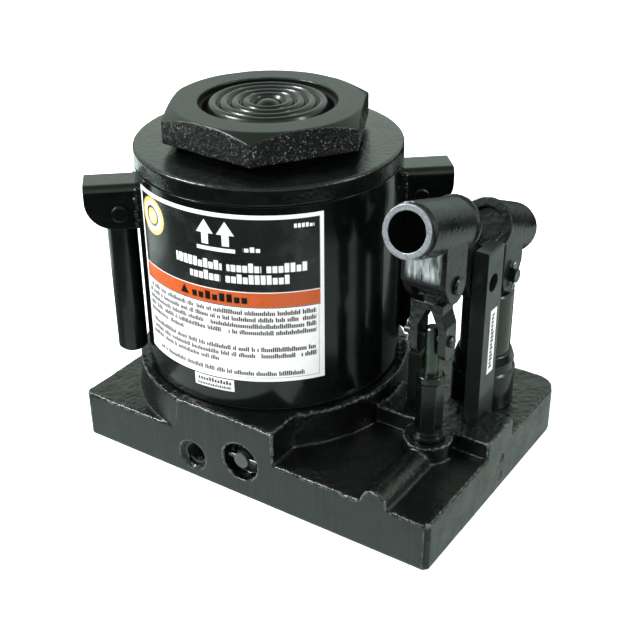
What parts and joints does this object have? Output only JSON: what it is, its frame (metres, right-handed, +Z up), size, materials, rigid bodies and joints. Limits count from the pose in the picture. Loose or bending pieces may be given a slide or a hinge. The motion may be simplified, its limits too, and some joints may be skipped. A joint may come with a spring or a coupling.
{
  "type": "hydraulic bottle jack",
  "caption": "Short heavy-duty hydraulic bottle jack with a ringed ram head, hex top nut, two lever-driven pumps, release valve and fold-down grips on a cast base.",
  "frame": {"origin": "on the ram axis, at the flat underside of the base", "axes": "+Z up along the ram, +X along the base towards the pumps, -Y out of the front face with the release valve"},
  "size_m": [0.2786, 0.1945, 0.238],
  "materials": {
    "base_cast": "gloss black enamel over a sand casting, machined front face",
    "plain_steel": "steel plug hammered flush, painted over",
    "ball_steel": "polished bearing ball",
    "tube_paint": "gloss black enamel on drawn tube",
    "gasket": "matt black",
    "plug_rubber": "matt black",
    "cover_paint": "black enamel over a rough cast plate",
    "seal_rubber": "matt black, oily",
    "cylinder_steel": "honed steel",
    "nut_paint": "black enamel, rough forged flats and turned bevel",
    "ram_steel": "ground and plated",
    "guide_brass": "bronze guide",
    "head_paint": "black enamel over turned rings",
    "bracket_paint": "gloss black enamel",
    "grip_paint": "gloss black enamel",
    "rivet_paint": "gloss black enamel",
    "pump_paint": "gloss black enamel",
    "gland_paint": "gloss black enamel",
    "rod_steel": "ground steel with an oil film",
    "socket_paint": "gloss black enamel with a bare machined ring at the mouth",
    "fork_paint": "gloss black enamel over a casting",
    "pin_paint": "gloss black enamel",
    "pin_steel": "oiled steel",
    "cotter_steel": "zinc plated wire",
    "post_paint": "gloss black enamel",
    "spindle_steel": "black finished steel",
    "label_print": "printed film: dark panel, orange band and white panel",
    "sticker_print": "white film"
  },
  "bodies": {
    "frame": {"base": "base_cast", "passage_plugs": "plain_steel", "check_balls": "ball_steel", "release_ball": "ball_steel", "reservoir_tube": "tube_paint", "foot_gasket": "gasket", "filler_plug": "plug_rubber", "cover_plate": "cover_paint", "cover_seal": "seal_rubber", "pressure_cylinder": "cylinder_steel", "top_nut": "nut_paint", "wiper": "seal_rubber", "left_bracket": "bracket_paint", "right_bracket": "bracket_paint", "left_grip_pin": "rivet_paint", "right_grip_pin": "rivet_paint", "front_pump_body": "pump_paint", "rear_pump_body": "pump_paint", "front_gland": "gland_paint", "rear_gland": "gland_paint", "front_packing": "seal_rubber", "rear_packing": "seal_rubber", "fulcrum_post": "post_paint", "stop_post": "post_paint", "fulcrum_pin": "pin_steel", "fulcrum_clip": "cotter_steel", "tube_label": "label_print", "small_label": "sticker_print", "post_label": "sticker_print"},
    "ram_set": {"ram": "ram_steel", "piston_seal": "seal_rubber", "guide_ring": "guide_brass", "ram_head": "head_paint"},
    "front_lever": {"front_socket": "socket_paint", "front_link_pin": "pin_paint", "front_link_cotter": "cotter_steel"},
    "front_plunger": {"front_piston": "rod_steel", "front_fork": "fork_paint", "front_cross_pin": "pin_steel", "front_cross_cotter": "cotter_steel"},
    "rear_lever": {"rear_socket": "socket_paint", "rear_link_pin": "pin_paint", "rear_link_cotter": "cotter_steel"},
    "rear_plunger": {"rear_piston": "rod_steel"},
    "left_grip": {"left_grip": "grip_paint"},
    "right_grip": {"right_grip": "grip_paint"},
    "valve": {"release_spindle": "spindle_steel", "spindle_pin": "pin_steel"}
  },
  "joints": [
    {"name": "ram_lift", "type": "slide", "parent": "frame", "child": "ram_set", "axis": [0, 0, 1], "range_m": [0, 0.115]},
    {"name": "front_lever_turn", "type": "hinge", "parent": "frame", "child": "front_lever", "pos_m": [0.1395, 0.014, 0.1445], "axis": [1, 0, 0], "range_deg": [-6, 17]},
    {"name": "front_plunger_slide", "type": "slide", "parent": "frame", "child": "front_plunger", "axis": [0, 0, -1], "range_m": [-0.0045, 0.0127]},
    {"name": "rear_lever_turn", "type": "hinge", "parent": "frame", "child": "rear_lever", "pos_m": [0.1395, 0.014, 0.1445], "axis": [1, 0, 0], "range_deg": [-6, 20]},
    {"name": "rear_plunger_slide", "type": "slide", "parent": "frame", "child": "rear_plunger", "axis": [0, 0, 1], "range_m": [-0.0041, 0.0135]},
    {"name": "left_grip_fold", "type": "hinge", "parent": "frame", "child": "left_grip", "pos_m": [-0.07502, -0.06521, 0.1703], "axis": [-0.6561, 0.7547, 0], "range_deg": [0, 90]},
    {"name": "right_grip_fold", "type": "hinge", "parent": "frame", "child": "right_grip", "pos_m": [0.07502, 0.06521, 0.1703], "axis": [0.6561, -0.7547, 0], "range_deg": [0, 90]},
    {"name": "release_turn", "type": "hinge", "parent": "frame", "child": "valve", "pos_m": [0.0383, -0.09, 0.0269], "axis": [0, -1, 0], "range_deg": [0, 360]}
  ],
  "couplings": [
    {"joint": "front_plunger_slide", "follows": "front_lever_turn", "m_per_rad": 0.0419},
    {"joint": "rear_plunger_slide", "follows": "rear_lever_turn", "m_per_rad": 0.0382}
  ]
}
